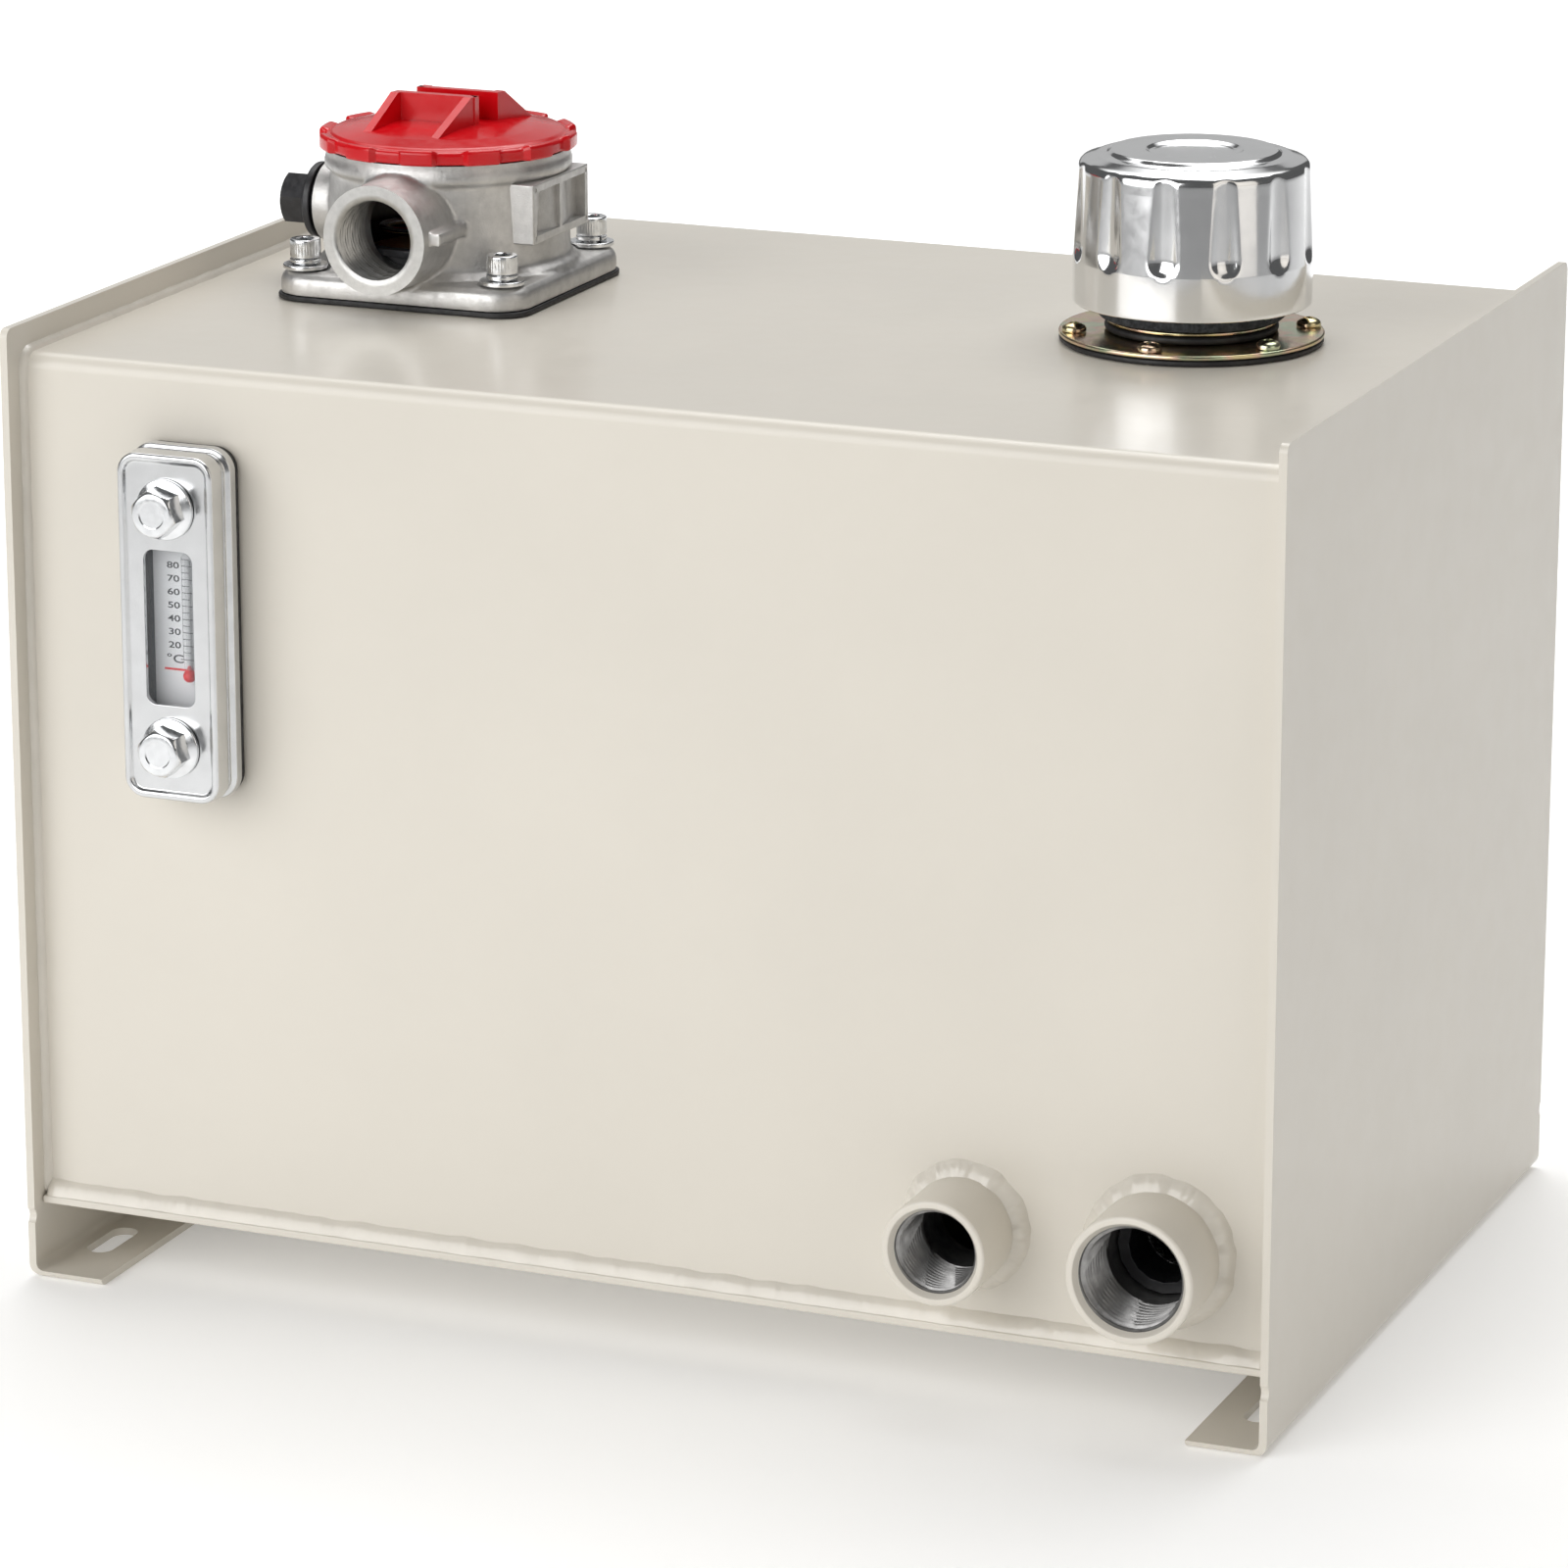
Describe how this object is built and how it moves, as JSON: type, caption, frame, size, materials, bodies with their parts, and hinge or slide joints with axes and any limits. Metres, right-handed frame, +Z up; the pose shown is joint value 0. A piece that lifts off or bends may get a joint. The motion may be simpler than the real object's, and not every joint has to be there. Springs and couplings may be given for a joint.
{
  "type": "hydraulic reservoir",
  "caption": "Rectangular steel oil tank on bent feet, with a tank-top return filter, chrome filler breather, level and temperature gauge and threaded front ports.",
  "frame": {"origin": "floor level under the middle of the whole object's box, ports included", "axes": "+Z up, +X to the right seen from the front, -Y towards the front with the gauge and ports"},
  "size_m": [0.42, 0.309, 0.367],
  "materials": {
    "painted_steel": "semi-gloss powder coat",
    "chrome": "bright plated",
    "zinc": "yellow passivated zinc",
    "bright_steel": "bright zinc plated",
    "cast_aluminium": "tumbled casting",
    "red_plastic": "glossy",
    "rubber": "matt",
    "black_plastic": "satin",
    "clear_plastic": "clear",
    "white_plastic": "printed scale",
    "red_spirit": "coloured thermometer spirit",
    "filter_paper": "pleated paper",
    "wire_mesh": "woven wire",
    "foam": "open foam"
  },
  "bodies": {
    "tank": {"right_end_plate": "painted_steel", "left_end_plate": "painted_steel", "tank_wrap": "painted_steel", "bottom_plate": "painted_steel", "baffle_plate": "painted_steel", "small_port": "painted_steel", "large_port": "painted_steel", "filler_flange": "zinc", "filler_screw_1": "zinc", "filler_screw_2": "zinc", "filler_screw_3": "zinc", "filler_screw_4": "zinc", "filler_screw_5": "zinc", "filler_screw_6": "zinc", "strainer_screen": "wire_mesh", "filler_basket": "wire_mesh", "gauge_cover": "chrome", "gauge_backing": "rubber", "gauge_seal_upper": "rubber", "gauge_seal_lower": "rubber", "filler_gasket": "rubber", "filter_gasket": "rubber", "side_plug_seal": "rubber", "gauge_lens": "clear_plastic", "thermometer_tube": "clear_plastic", "gauge_scale_card": "white_plastic", "thermometer_spirit": "red_spirit", "gauge_bolt_upper": "bright_steel", "gauge_bolt_lower": "bright_steel", "gauge_nut_upper": "bright_steel", "gauge_nut_lower": "bright_steel", "element_spring": "bright_steel", "bypass_cage": "bright_steel", "bypass_spring": "bright_steel", "filter_flat_washer_1": "bright_steel", "filter_spring_washer_1": "bright_steel", "filter_screw_1": "bright_steel", "filter_flat_washer_2": "bright_steel", "filter_spring_washer_2": "bright_steel", "filter_screw_2": "bright_steel", "filter_flat_washer_3": "bright_steel", "filter_spring_washer_3": "bright_steel", "filter_screw_3": "bright_steel", "filter_flat_washer_4": "bright_steel", "filter_spring_washer_4": "bright_steel", "filter_screw_4": "bright_steel", "filter_head": "cast_aluminium", "filter_bowl": "black_plastic", "side_plug": "black_plastic", "strainer_head": "black_plastic", "filter_element": "filter_paper"},
    "lid_seal": {"lid_o_ring": "rubber"},
    "lid": {"filter_lid": "red_plastic"},
    "cap_seal": {"cap_gasket": "rubber"},
    "breather_cap": {"cap_base": "zinc", "cap_air_filter": "foam", "cap_shell": "chrome"},
    "bypass_valve": {"bypass_poppet": "bright_steel"}
  },
  "joints": [
    {"name": "lid_rise", "type": "slide", "parent": "tank", "child": "lid_seal", "axis": [0, 0, 1], "range_m": [0, 0.009], "deforming": ["element_spring"]},
    {"name": "lid_turn", "type": "hinge", "parent": "lid_seal", "child": "lid", "pos_m": [-0.1285, 0.0195, 0.35], "axis": [0, 0, 1], "range_deg": [0, 1080]},
    {"name": "cap_rise", "type": "slide", "parent": "tank", "child": "cap_seal", "axis": [0, 0, 1], "range_m": [0, 0.0015]},
    {"name": "cap_turn", "type": "hinge", "parent": "cap_seal", "child": "breather_cap", "pos_m": [0.1234, 0.0308, 0.32], "axis": [0, 0, 1], "range_deg": [0, 60]},
    {"name": "bypass_open", "type": "slide", "parent": "tank", "child": "bypass_valve", "axis": [0, 0, -1], "range_m": [0, 0.004], "stiffness_N_per_m": 2500, "springref_m": -0.003, "deforming": ["bypass_spring"]}
  ],
  "couplings": [
    {"joint": "lid_rise", "follows": "lid_turn", "m_per_rad": 0.000477},
    {"joint": "cap_rise", "follows": "cap_turn", "m_per_rad": 0.001432}
  ]
}
